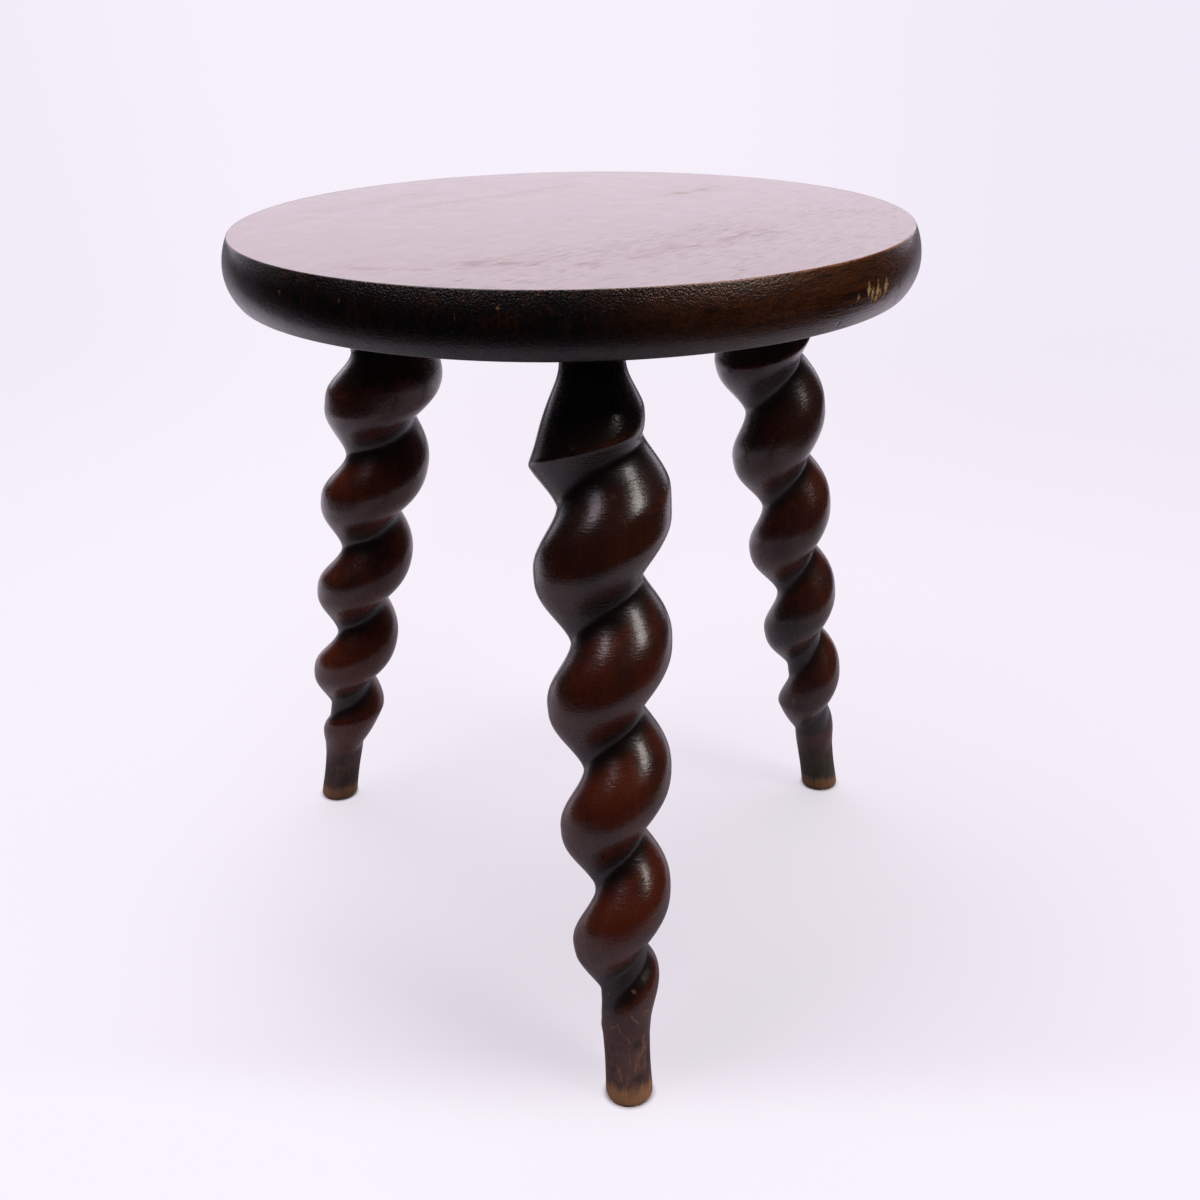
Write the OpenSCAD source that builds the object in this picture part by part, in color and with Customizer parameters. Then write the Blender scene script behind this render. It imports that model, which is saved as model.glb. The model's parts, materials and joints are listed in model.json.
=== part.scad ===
// Three-legged milking stool with a round seat and barley-twist legs.
// The origin is on the floor, at the middle of the stool's outline, and +Z is up.
// Lists of three values go in the order front leg, left leg, right leg.

/* [Seat] */
// Greatest diameter of the seat, at the bulge of its edge
seat_d = 290; // [260:1:340]
// Thickness of the seat board
seat_t = 25; // [23:0.5:40]
// Height of the sitting face above the floor
seat_h = 330; // [290:1:400]
// Height of the edge's bulge above the underside
bulge_h = 12.5; // [9:0.5:16]
// Radius of the edge's curve above its bulge
upper_edge_r = 27.5; // [20:0.5:60]
// Radius of the edge's curve below its bulge
lower_edge_r = 19; // [17:0.5:60]

/* [Sockets] */
// Diameter of the circle that the leg axes make on the underside
socket_circle_d = 191; // [150:1:205]
// Direction of each socket from the seat's middle
socket_angle = [-86.4, 147.8, 28.3]; // [-180:0.1:180]
// Splay of each leg away from upright
splay = [11.75, 12.1, 11.2]; // [6:0.05:14]
// Angle in plan between a leg's lean and the line from the seat's middle
lean_offset = 5.5; // [-8:0.5:8]
// Length of the tenon inside the seat, along the leg
tenon_l = 17; // [12:0.5:18]
// Clearance round the tenon, filled with glue
tenon_gap = 0.1; // [0.05:0.05:0.3]
// Clearance between the tenon's end and the bottom of its socket
socket_end_gap = 0.6; // [0.3:0.1:1]

/* [Neck] */
// Diameter of the neck and of the tenon
neck_d = 24.8; // [21:0.2:28]
// Length of the plain neck below the seat
neck_l = 13.5; // [8:0.5:20]
// Radius that the cone under the neck gains for each unit of length
flare = 0.4; // [0.3:0.02:0.6]

/* [Twist] */
// Diameter over the strand where its taper meets the seat
crest_top_d = 60.8; // [54:0.2:68]
// Diameter over the strand where its taper meets the floor
crest_foot_d = 32.4; // [30:0.2:38]
// Depth of the groove below the strand
groove_depth = 11.6; // [8:0.2:12.4]
// Length of one turn at the top of the leg
pitch_top = 55.4; // [45:0.2:65]
// Length of one turn at the foot of the leg
pitch_foot = 47.8; // [42:0.2:60]
// Sharpness of the groove, where 1 is a plain V and 2 is a round hollow
groove_round = 1.7; // [1.2:0.05:2]
// Fullness of the strand between the grooves, where 1 is slim
strand_round = 1.3; // [1:0.05:1.6]
// Girth of each leg's twist, as carved by hand
girth = [1, 1, 0.9]; // [0.85:0.01:1.05]
// Turn of each leg about its own axis
leg_turn = [-30, -6, -67]; // [-180:1:180]

/* [Foot] */
// Length of the plain foot below the twist
foot_l = 38; // [25:0.5:55]
// Diameter of the foot where the twist ends
foot_top_d = 19.2; // [18:0.1:22]
// Diameter of the foot at its waist
waist_d = 18.2; // [16:0.1:20]
// Diameter of the foot where it meets the floor
foot_d = 18.9; // [17:0.1:22]
// Height of the waist above the floor, along the leg
waist_h = 16; // [10:0.5:20]
// Length of the straight end of the foot above the floor
foot_end_l = 4; // [3:0.5:6]
// Height over which the strand swells out above the foot
shoulder_l = 38; // [25:1:60]
// Radius that the shoulder above the foot tends to gain
shoulder_w = 17.5; // [14:0.5:24]

/* [Hidden] */

LEGS = [0, 1, 2];
seat_r = seat_d / 2;
underside_h = seat_h - seat_t;
neck_r = neck_d / 2;
crest_top_r = crest_top_d / 2;
crest_foot_r = crest_foot_d / 2;
foot_top_r = foot_top_d / 2;
waist_r = waist_d / 2;
foot_r = foot_d / 2;
socket_r = neck_r + tenon_gap;
socket_l = tenon_l + socket_end_gap;

// Flat sides round the twist, and rings in each turn of it
sides = 20;
// Steps along the foot's waist
foot_steps = 8;
// Smallest step between the turned ends of a leg and the flats of its twist
turned_step = 0.05;
// Length by which the turned ends run on inside the twist, so that a leg is one solid
lap_l = 0.5;
// Distance over which the last groove runs out into the foot
groove_end_l = 4;
// Length of foot below the floor, before the foot is trimmed level
trim_l = 8;
$fn = 96;

// Length of a leg's axis from the underside to the floor
function leg_l(k) = underside_h / cos(splay[k]);

// Direction in plan in which a leg leans
function lean(k) = socket_angle[k] + lean_offset;

// Where a leg's axis meets the underside and the floor, from the seat's middle
function socket_at(k) = socket_circle_d / 2 * [cos(socket_angle[k]), sin(socket_angle[k])];
function foot_at(k) = socket_at(k) + underside_h * tan(splay[k]) * [cos(lean(k)), sin(lean(k))];

// Half of a level foot's extent along X and along Y: it is an ellipse, longer the way it leans
function foot_reach(k) = foot_r * [
    norm([cos(lean(k)) / cos(splay[k]), sin(lean(k))]),
    norm([sin(lean(k)) / cos(splay[k]), cos(lean(k))])
];

// Middle of the whole outline in plan, from the seat's middle
outline_low = [for (a = [0, 1]) min([-seat_r, for (k = LEGS) foot_at(k)[a] - foot_reach(k)[a]])];
outline_high = [for (a = [0, 1]) max([seat_r, for (k = LEGS) foot_at(k)[a] + foot_reach(k)[a]])];
outline_middle = (outline_low + outline_high) / 2;

// Change of the turns for each unit of length, as the pitch shortens down the leg
function pitch_change(k) = (1 / pitch_foot - 1 / pitch_top) / (2 * leg_l(k));

// Turns that the twist has made at distance s below the seat
function turns(s, k) = s / pitch_top + pitch_change(k) * s * s;

// Distance below the seat of ring i: each ring is turned by one side against the last
function ring_s(i, k) = 2 * i / sides
    / (1 / pitch_top + sqrt(1 / pitch_top ^ 2 + 4 * pitch_change(k) * i / sides));

// Radii at distance s below the seat
function crest_r(s, k) = girth[k] * (crest_top_r + (crest_foot_r - crest_top_r) * s / leg_l(k));
function valley_r(s, k) = crest_r(s, k) - girth[k] * groove_depth;
function cone_r(s) = neck_r + flare * (s - neck_l);

// The groove starts where the cone grows wider than the groove's bottom
function groove_s(k) = let (slope = (valley_r(0, k) - valley_r(leg_l(k), k)) / leg_l(k))
    (valley_r(0, k) - neck_r + flare * neck_l) / (flare + slope);

function first_ring(k) = floor(sides * turns(groove_s(k), k));
function last_ring(k) = floor(sides * turns(leg_l(k) - foot_l, k));

// Share of the groove's depth that is left standing at a place across the strand
function strand(across) = 1 - (1 - abs(sin(180 * across)) ^ groove_round) ^ strand_round;

// Smallest radius of the twist, where the last groove runs out into the foot
function groove_floor_r(above_foot) =
    waist_r + (foot_top_r - waist_r) * exp(-above_foot / groove_end_l);

// Radius of the carved twist: the cone limits it above, and the foot's shoulder below
function twist_r(s, across, k) = let (
    above_foot = ring_s(last_ring(k), k) - s,
    carved = valley_r(s, k) + girth[k] * groove_depth * strand(across),
    shoulder = foot_top_r + shoulder_w * (1 - exp(-above_foot / shoulder_l))
) max(groove_floor_r(above_foot), min(cone_r(s), carved, shoulder));

// Radius of the foot at height h above the floor: straight at its end, then waisted
function foot_side_r(h, top_h) = let (
    below = max(0, (waist_h - h) / (waist_h - foot_end_l)),
    above = max(0, (h - waist_h) / (top_h - waist_h))
) waist_r + (foot_r - waist_r) * below ^ 2 + (foot_top_r - waist_r) * above ^ 2;

// Radius of a circle that lies just inside a ring of the twist
function inside_ring(r) = r * cos(180 / sides) - turned_step;

// Puts a leg that hangs below the origin into its socket
module place_leg(k) {
    translate([each socket_at(k) - outline_middle, underside_h])
        rotate([0, 0, lean(k)])
            rotate([0, -splay[k], 0])
                rotate([0, 0, leg_turn[k]])
                    children();
}

// Half of the seat's section: a flat board with a bulging edge
module seat_section() {
    intersection() {
        translate([0, bulge_h])
            square([seat_r, seat_t - bulge_h]);
        union() {
            square([seat_r - upper_edge_r, seat_t]);
            translate([seat_r - upper_edge_r, bulge_h])
                circle(upper_edge_r);
        }
    }
    intersection() {
        square([seat_r, bulge_h]);
        union() {
            square([seat_r - lower_edge_r, seat_t]);
            translate([seat_r - lower_edge_r, bulge_h])
                circle(lower_edge_r);
        }
    }
}

// Tenon, neck and the cone that opens out to the twist, turned in one profile
module neck(k) {
    lap_end = ring_s(first_ring(k), k) + lap_l;
    rotate_extrude()
        polygon([
            [0, -lap_end],
            [inside_ring(min(cone_r(lap_end), valley_r(lap_end, k))), -lap_end],
            [neck_r, -neck_l],
            [neck_r, tenon_l],
            [0, tenon_l]
        ]);
}

// One strand carved in a right-hand twist, with the grooves along the edges between facets
module twist(k) {
    rings = last_ring(k) - first_ring(k);
    points = [
        for (i = [first_ring(k) : last_ring(k)], j = [0 : sides - 1])
            let (s = ring_s(i, k), r = twist_r(s, (i + j) / sides, k), a = 360 * j / sides)
                [r * cos(a), r * sin(a), -s]
    ];
    flanks = [
        for (i = [0 : rings - 1], j = [0 : sides - 1])
            let (a = i * sides + j, b = i * sides + (j + 1) % sides)
                each [[a, b, a + sides], [b, b + sides, a + sides]]
    ];
    top_end = [for (j = [sides - 1 : -1 : 0]) j];
    foot_end = [for (j = [0 : sides - 1]) rings * sides + j];
    polyhedron(points, concat(flanks, [top_end, foot_end]));
}

// Plain waisted foot, longer than the leg until it is trimmed level
module foot(k) {
    foot_top = -ring_s(last_ring(k), k);
    top_h = leg_l(k) + foot_top;
    side = [
        for (n = [0 : foot_steps - 1])
            let (h = foot_end_l + (top_h - foot_end_l) * n / foot_steps)
                [foot_side_r(h, top_h), h - leg_l(k)]
    ];
    rotate_extrude()
        polygon([
            [0, -leg_l(k) - trim_l],
            [foot_r, -leg_l(k) - trim_l],
            each side,
            [inside_ring(groove_floor_r(lap_l)), foot_top + lap_l],
            [0, foot_top + lap_l]
        ]);
}

// One turned and carved leg with its tenon, trimmed level at the floor
module leg(k) {
    place_leg(k) {
        neck(k);
        twist(k);
    }
    intersection() {
        place_leg(k)
            foot(k);
        translate([-seat_d, -seat_d, 0])
            cube([2 * seat_d, 2 * seat_d, underside_h]);
    }
}

module seat() {
    color("#3b2420")
        difference() {
            translate([-outline_middle[0], -outline_middle[1], underside_h])
                rotate_extrude($fn = 180)
                    seat_section();
            for (k = LEGS)
                place_leg(k)
                    translate([0, 0, -socket_l])
                        cylinder(h = 2 * socket_l, r = socket_r);
        }
}

module leg_front() {
    color("#2f1510")
        leg(0);
}

module leg_left() {
    color("#2f1510")
        leg(1);
}

module leg_right() {
    color("#2f1510")
        leg(2);
}

seat();
leg_front();
leg_left();
leg_right();
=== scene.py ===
"""A three-legged milking stool with barley-twist legs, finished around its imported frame."""
import json
import math

import bmesh
import bpy
from bpy.props import FloatProperty, FloatVectorProperty, IntProperty, PointerProperty
from bpy.types import Operator, Panel, PropertyGroup
from mathutils import Matrix, Vector, noise


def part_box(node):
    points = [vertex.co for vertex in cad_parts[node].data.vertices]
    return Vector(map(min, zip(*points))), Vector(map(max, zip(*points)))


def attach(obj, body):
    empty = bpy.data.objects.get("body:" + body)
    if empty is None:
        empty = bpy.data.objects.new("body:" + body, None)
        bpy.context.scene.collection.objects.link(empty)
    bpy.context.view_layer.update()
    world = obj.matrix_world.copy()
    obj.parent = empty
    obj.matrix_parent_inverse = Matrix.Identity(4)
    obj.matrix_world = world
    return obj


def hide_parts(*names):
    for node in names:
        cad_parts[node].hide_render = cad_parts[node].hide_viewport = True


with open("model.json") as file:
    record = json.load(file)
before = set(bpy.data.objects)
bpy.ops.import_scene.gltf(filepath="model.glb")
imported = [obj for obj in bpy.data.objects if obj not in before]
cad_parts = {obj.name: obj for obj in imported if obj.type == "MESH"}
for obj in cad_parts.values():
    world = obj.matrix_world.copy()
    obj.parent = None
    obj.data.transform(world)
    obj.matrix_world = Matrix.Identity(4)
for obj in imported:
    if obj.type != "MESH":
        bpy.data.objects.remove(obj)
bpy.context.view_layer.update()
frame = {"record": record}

bl_info = {
    "name": "Milking stool",
    "version": (1, 0, 0),
    "blender": (4, 5, 0),
    "location": "View3D > Sidebar > Stool",
    "description": "Builds a milking stool with a round seat and three barley-twist legs",
    "category": "Add Mesh",
}

MM = 0.001
HAIR = 0.01 * MM    # a length too small to see
BUMP_L = 0.14 * MM    # depth of a height of 1 in both finishes
GRAIN_APART = Vector((0.31, 0.17, 0))    # from each leg's grain to the next one's
LEGS = ("leg_front", "leg_left", "leg_right")
FEET = ("foot_front", "foot_left", "foot_right")
# Chips in the seat's edge: direction in degrees, height, half width and half height in millimetres, bareness
CHIPS = ((-42.2, 13.4, 1.3, 3.7, 1), (-41, 11.4, 1.2, 3.6, 1), (-39.6, 12, 1.5, 4.3, 1),
         (-38.7, 10.6, 0.9, 2, 1), (-37, 12.4, 1.8, 4.6, 1), (-44.9, 11.6, 1, 1.7, 0.8),
         (-39.9, 9.3, 2.2, 1.6, 1), (-32.2, 11.2, 0.7, 2.6, 0.2), (-31.1, 3.8, 1.6, 1, 0.15),
         (-48.3, 3.4, 1.4, 1.6, 0.2), (-136.8, 16.9, 0.42, 1.5, 0.35), (-133, 22.6, 0.3, 0.4, 0.4),
         (-124.2, 17.7, 0.5, 0.6, 0.35), (-106, 15.9, 0.32, 1.5, 0.25), (-116.2, 24.2, 0.3, 0.3, 0.6),
         (-111, 23.9, 0.3, 0.3, 0.5), (-99.7, 24.3, 0.35, 0.3, 0.6), (18, 23.4, 2, 1, 0.3),
         (112, 22.7, 1.1, 0.9, 0.4), (163, 14.8, 1.1, 1.8, 0.3))
# Scrapes down to paler wood on the legs: leg, distance below the seat in millimetres and direction in degrees
# at both ends, half width in millimetres, paleness
LEG_SCRAPES = ((0, 67.3, 39.6, 69.3, 40.4, 0.3, 0.5), (0, 58.6, 35.2, 58.9, 36, 1.5, 0.15),
               (0, 58.6, 89.8, 59.2, 90, 0.8, 0.3), (0, 130.3, 63.4, 131.2, 65, 0.9, 0.35),
               (0, 153.4, 3, 153.9, 5, 0.9, 0.3), (0, 260.8, 39, 261.4, 43, 0.9, 0.7),
               (0, 262.7, -24, 263.5, -20, 0.9, 0.3), (0, 277.6, -15, 276.4, -6, 0.9, 0.45),
               (0, 275.4, 2, 278.6, 6.5, 0.8, 0.45), (0, 281.3, 18.8, 284, 27.8, 0.6, 0.45),
               (0, 271.3, 33, 275.1, 46.7, 0.7, 0.7), (0, 270.8, 58.9, 270.9, 69.9, 0.7, 0.6),
               (0, 282.5, 65.5, 291.1, 57.3, 0.7, 0.9), (0, 294, 40.6, 297.6, 35.7, 0.6, 0.7),
               (0, 292, 69.4, 296.6, 67.5, 0.6, 0.5), (0, 296.1, -3.4, 301.6, 3, 1, 0.6),
               (0, 300.1, 18.5, 302.9, 15.3, 0.7, 0.5), (2, 57.9, -71, 58.5, -69, 1, 0.2),
               (2, 241.6, -91, 243.4, -92, 1.2, 0.5), (1, 120, -80, 124, -78, 0.6, 0.3))
# Cracks in the legs' finish and one small hole, written as the scrapes are but without paleness
LEG_CRACKS = ((0, 54.1, 54.5, 53.5, 63.8, 0.26), (0, 55.1, 49.9, 54.7, 54.4, 0.24),
              (0, 51.7, 57, 51.3, 61.4, 0.22), (0, 107.6, -64, 109, -54, 0.24),
              (0, 213.3, 52.8, 211.7, 62.9, 0.3), (0, 286.5, 59.6, 286.7, 60, 0.6))
# Marks on the sitting face: both ends and the width, in millimetres from its centre
FACE_MARKS = {
    "worn": ((-84, -98, -50, -105, 4), (-44, -94, 6, -100, 9), (24, -88, 76, -42, 14), (50, 64, 62, 74, 8)),
    "pale": ((30, 38, 40, 40, 7), (-76, -15, -72, -14, 6), (-61, -16, -58, -15, 5),
             (-92, -8, -88, -7, 6), (-116, -51, -113, -50, 5), (-122, -20, -104, 4, 5),
             (-6, -52, 30, -50, 5), (66, -30, 84, -18, 5)),
    "stain": ((-74, 28, -5, 89, 13), (45, 60, 66, 80, 18), (-30, -92, 60, -34, 22), (80, -30, 120, 5, 16),
              (-110, 30, -70, 75, 14)),
}


def length(name, millimetres, description):
    """A length that the user can set, written here in millimetres."""
    return FloatProperty(name=name, description=description, default=millimetres * MM, unit="LENGTH")


def share(name, value, description):
    """A plain number that the user can set."""
    return FloatProperty(name=name, description=description, default=value)


def angle(name, degrees, description):
    """An angle that the user can set, written here in degrees."""
    return FloatProperty(name=name, description=description, default=math.radians(degrees), unit="ROTATION")


def angles(name, degrees, description):
    """One angle for each leg: front, left, right."""
    radians = [math.radians(a) for a in degrees]
    return FloatVectorProperty(name=name, description=description, size=3, default=radians, unit="ROTATION")


def colour(name, rgb, description):
    """A colour that the user can set."""
    return FloatVectorProperty(name=name, description=description, size=3, default=rgb, subtype="COLOR",
                               min=0, max=1)


class StoolSeatSizes(PropertyGroup):
    """Sizes of the seat board."""
    bulge_h: length("Bulge height", 12.5, "Height of the edge's bulge above the underside")
    upper_edge_r: length("Upper edge radius", 27.5, "Radius of the edge's curve above its bulge")
    lower_edge_r: length("Lower edge radius", 19, "Radius of the edge's curve below its bulge")
    arris_r: length("Arris radius", 0.7, "Rounding where the edge meets the sitting face")
    under_arris_r: length("Lower arris radius", 1.5, "Rounding where the edge meets the underside")
    wave: length("Wave", 0.12, "Depth of the slow unevenness of the board's faces")
    chip_depth: length("Chip depth", 0.4, "Depth of the chips in the edge")
    grain_turn: angle("Grain direction", 45, "Direction of the grain in plan")
    top_cells: IntProperty(name="Cells", description="Cells across the sitting face", default=176)


class StoolLegSizes(PropertyGroup):
    """Sizes of the legs, which follow the frame's."""
    socket_circle_d: length("Socket circle", 191, "Diameter of the circle of the leg axes on the underside")
    socket_angle: angles("Socket directions", (-86.4, 147.8, 28.3), "Direction of each socket")
    splay: angles("Splay", (11.75, 12.1, 11.2), "Splay of each leg away from upright")
    lean_offset: angle("Lean offset", 5.5, "Angle in plan between lean and radius")
    leg_turn: angles("Turn", (-30, -6, -67), "Turn of each leg about its own axis")
    girth: FloatVectorProperty(name="Girth", description="Girth of each leg's twist", size=3,
                               default=(1, 1, 0.9))
    tenon_l: length("Tenon length", 17, "Length of the tenon inside the seat")
    tenon_gap: length("Tenon gap", 0.1, "Clearance round the tenon")
    socket_end_gap: length("Socket end gap", 0.6, "Clearance above the tenon's end")
    neck_d: length("Neck diameter", 24.8, "Diameter of the neck and of the tenon")
    neck_l: length("Neck length", 13.5, "Length of the plain neck below the seat")
    neck_soft: length("Neck softness", 5, "Length over which the neck curves into its cone")
    flare: share("Flare", 0.4, "Radius that the cone gains for each unit of length")
    crest_top_d: length("Upper crest diameter", 61.7, "Diameter over the strand at the seat")
    crest_foot_d: length("Lower crest diameter", 33.6, "Diameter over the strand at the floor")
    groove_depth: length("Groove depth", 11.6, "Depth of the groove below the strand")
    pitch_top: length("Upper pitch", 55.4, "Length of one turn at the top of the leg")
    pitch_foot: length("Lower pitch", 47.8, "Length of one turn at the foot of the leg")
    groove_round: share("Groove roundness", 1.7, "From a plain V at 1 to a round hollow at 2")
    strand_round: share("Strand fullness", 1.3, "Fullness of the strand between the grooves")
    cone_l: length("Cone length", 44, "Distance of the cone's end below the seat")
    cone_swell: length("Cone swell", 0.7, "Height of the cone's swelling over a straight side")
    ridge_soft: length("Ridge softness", 0.9, "Rounding of the ridge where the groove cuts the cone")
    ridge_soft_top: length("Upper ridge softness", 7, "Added rounding of that ridge halfway down the cone")
    ridge_soft_foot: length("Lower ridge softness", 7, "Added rounding where the last groove runs out")
    run_out_l: length("Run-out length", 36, "Length over which the last ridge is softened")
    least_groove: length("Least groove", 4.5, "Depth from which a groove's bottom counts as fully hollow")
    foot_l: length("Foot length", 36, "Length of the plain foot below the twist")
    foot_top_d: length("Foot top diameter", 20, "Diameter of the foot where the twist ends")
    waist_d: length("Waist diameter", 19.1, "Diameter of the foot at its waist")
    foot_d: length("Foot diameter", 19.6, "Diameter of the foot just above its rounded end")
    waist_h: length("Waist height", 16, "Height of the waist above the floor")
    foot_end_l: length("Foot end length", 4, "Length of the straight end of the foot")
    foot_round: length("Foot rounding", 2, "Radius of the worn rim of the foot's end")
    shoulder_l: length("Shoulder length", 38, "Height over which the strand swells out above the foot")
    shoulder_w: length("Shoulder width", 17.5, "Radius that the shoulder tends to gain")
    shoulder_soft: length("Shoulder softness", 9, "Length over which the foot curves into the shoulder")
    groove_end_l: length("Groove end length", 4, "Distance over which the last groove runs out")
    carving: length("Carving", 0.24, "Depth of the marks that hand carving left")
    columns: IntProperty(name="Columns", description="Faces round a leg", default=112)
    ring_l: length("Ring length", 0.8, "Distance between the rings of faces along a leg")


class StoolColours(PropertyGroup):
    """Colours of the wood and its wear."""
    seat_dark: colour("Seat stain", (0.006, 0.0042, 0.0038), "Stain of the seat where it is darkest")
    seat_brown: colour("Seat brown", (0.16, 0.042, 0.009), "Stained wood of the seat where it shows")
    seat_top: colour("Seat top", (0.17, 0.06, 0.055), "Sitting face")
    # Near the seat the legs keep this colour, as painted shade
    leg_dark: colour("Leg stain", (0.033, 0.017, 0.014), "Stain of the legs where it is darkest")
    leg_red: colour("Leg red", (0.15, 0.026, 0.009), "Stained wood of the legs where it shows")
    leg_bright: colour("Leg bright", (0.19, 0.05, 0.02), "Stained wood of the legs where it is brightest")
    foot_dark: colour("Foot dark", (0.04, 0.02, 0.022), "Dark blotches on the worn feet")
    foot_grey: colour("Foot grey", (0.2, 0.1, 0.09), "Dull worn stain on the feet")
    foot_green: colour("Foot green", (0.055, 0.042, 0.018), "Dull greenish dirt low on the rear feet")
    foot_tan: colour("Foot tan", (0.4, 0.2, 0.1), "Scuffs on the feet, and pale flecks on the sitting face")
    foot_bare: colour("Foot bare", (0.6, 0.29, 0.125), "Bare wood round the ends of the feet")
    worn: colour("Worn wood", (0.19, 0.066, 0.038), "Wood where the finish has worn thin")
    rubbed: colour("Rubbed edge", (0.4, 0.15, 0.06), "Rubbed edge of the sitting face")
    bare: colour("Bare wood", (1.0, 0.6, 0.24), "Bare wood in chips")
    # Besides real dirt and old wax in pores and cracks, this colour paints the shade deep in the legs'
    # grooves
    dirt_and_shade: colour("Dirt", (0.0045, 0.0035, 0.0032), "Dirt and old wax in grooves and pores")


class StoolStage(PropertyGroup):
    """Floor, light and camera."""
    floor_near: colour("Floor", (0.955, 0.905, 0.99), "Floor round the stool")
    floor_far: colour("Backdrop", (0.88, 0.83, 0.94), "Floor and backdrop far away")
    floor_glow: share("Floor glow", 0.61, "Share of the floor's colour that the camera sees without shadow")
    floor_bounce: share("Floor bounce", 0.5, "Share of the floor's colour that lights the stool nearby")
    pale_light: colour("Light", (0.93, 0.88, 1.0), "Light behind and above the stool")
    dark_room: colour("Dark room", (0.012, 0.011, 0.012), "Room on the camera's side")
    camera_pitch: angle("Camera pitch", 24.51, "Angle by which the camera looks down")
    camera_yaw: angle("Camera yaw", 0.89, "Turn of the camera to the right")
    camera_roll: angle("Camera roll", -0.88, "Roll of the camera")
    camera_back: length("Camera distance", 603.61, "Distance of the camera in front of the seat's centre")
    camera_h: length("Camera height", 428.04, "Height of the camera above the floor")
    lens: share("Lens", 42.01, "Focal length in millimetres, on a sensor 36 mm wide")


class Field:
    """A socket that varies over a surface. Python's operators on a number add its Math nodes."""

    def __init__(self, sheet, socket):
        self.sheet = sheet
        self.socket = socket

    def __add__(self, other):
        return self.sheet.math("ADD", self, other)

    __radd__ = __add__

    def __sub__(self, other):
        return self.sheet.math("SUBTRACT", self, other)

    def __rsub__(self, other):
        return self.sheet.math("SUBTRACT", other, self)

    def __mul__(self, other):
        return self.sheet.math("MULTIPLY", self, other)

    __rmul__ = __mul__

    def __abs__(self):
        return self.sheet.math("ABSOLUTE", self)


class Sheet:
    """Adds nodes to one node tree."""

    def __init__(self, tree):
        self.tree = tree
        tree.nodes.clear()

    def node(self, kind, settings, sockets, output=0):
        """Adds a node of this type, with its settings and the values or links of its sockets."""
        made = self.tree.nodes.new(kind)
        for name, value in settings.items():
            setattr(made, name, value)
        for name, value in sockets.items():
            if isinstance(value, Field):
                self.tree.links.new(value.socket, made.inputs[name])
            else:
                made.inputs[name].default_value = value
        return Field(self, made.outputs[output]) if made.outputs else None

    def math(self, operation, *values):
        return self.node("ShaderNodeMath", {"operation": operation}, dict(enumerate(values)))

    def vector(self, operation, *values, output=0):
        return self.node("ShaderNodeVectorMath", {"operation": operation}, dict(enumerate(values)), output)

    def measure(self, operation, *values):
        """A number worked out from vectors, such as a length or a dot product."""
        return self.vector(operation, *values, output="Value")

    def mix(self, a, b, factor):
        """Mixes two colours, each a Field or a plain colour."""
        factor_in, a_in, b_in, result_out = 0, 6, 7, 2
        values = [v if isinstance(v, Field) else (*v, 1) for v in (a, b)]
        return self.node("ShaderNodeMix", {"data_type": "RGBA", "clamp_factor": True},
                         {factor_in: factor, a_in: values[0], b_in: values[1]}, result_out)

    def coats(self, base, *layers):
        """Lays colours over a base in turn, each given with its factor."""
        for over, factor in layers:
            base = self.mix(base, over, factor)
        return base

    def between(self, value, low, high):
        """Rises smoothly from 0 at low to 1 at high. With low over high it falls."""
        falls = low > high
        ends = {"From Min": min(low, high), "From Max": max(low, high), "To Min": float(falls),
                "To Max": float(not falls)}
        return self.node("ShaderNodeMapRange", {"interpolation_type": "SMOOTHSTEP"}, {"Value": value, **ends})

    def noise(self, place, scale=1.0, detail=2.0, roughness=0.5, distortion=0.0):
        return self.node("ShaderNodeTexNoise", {}, {
            "Vector": place, "Scale": scale, "Detail": detail, "Roughness": roughness,
            "Distortion": distortion})

    def attribute(self, name, output="Fac"):
        return self.node("ShaderNodeAttribute", {"attribute_name": name}, {}, output)

    def axes(self, place):
        """The three parts of a vector."""
        parts = self.node("ShaderNodeSeparateXYZ", {}, {"Vector": place}).socket.node
        return [Field(self, s) for s in parts.outputs]


def wood_fields(sheet, place, stretch):
    """Grain at every scale, from a place in metres and the board's stretch(across, along) per metre."""
    def at(across, along):
        return sheet.vector("MULTIPLY", place, stretch(across, along))

    def dashes(across, along, rare, width=0.3):
        """Short dashes along the grain, one to a stretched cell, in the share of the cells above rare."""
        cell = {"Vector": at(across, along), "Scale": 1.0}
        near = sheet.node("ShaderNodeTexVoronoi", {}, cell, "Distance")
        chance = sheet.axes(sheet.node("ShaderNodeTexVoronoi", {}, cell, "Color"))[0]
        return sheet.between(near, width, 0.45 * width) * sheet.between(chance, rare, rare + 0.08)
    return {
        "figure": sheet.noise(at(45, 5), detail=3, distortion=0.6),
        "band": sheet.noise(at(190, 9), detail=3, roughness=0.55, distortion=0.3),
        "streak": sheet.noise(at(520, 24), detail=3, roughness=0.6),
        "line": sheet.noise(at(1150, 120), detail=1, roughness=0.6),
        "fibre": sheet.noise(at(1900, 55), detail=2, roughness=0.6),
        "pore": dashes(1000, 90, 0.35),
        "nick": dashes(240, 110, 0.93, 0.2),
        "blotch": sheet.noise(place, 30, detail=3, roughness=0.6),
        "speck": sheet.noise(place, 1100, detail=2, roughness=0.6),
        "rub": sheet.noise(place, 110, detail=4, roughness=0.65),
    }


def finish_surface(sheet, base, roughness, coat, height):
    """Joins the fields of a finish to one Principled shader."""
    normal = sheet.node("ShaderNodeBump", {}, {"Height": height, "Strength": 1.0, "Distance": BUMP_L})
    shader = sheet.node("ShaderNodeBsdfPrincipled", {}, {
        "Base Color": base, "Roughness": roughness, "Coat Weight": coat, "Coat Roughness": 0.16,
        "Coat IOR": 1.5, "IOR": 1.5, "Specular IOR Level": 0.6, "Normal": normal})
    sheet.node("ShaderNodeOutputMaterial", {}, {"Surface": shader})


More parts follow.
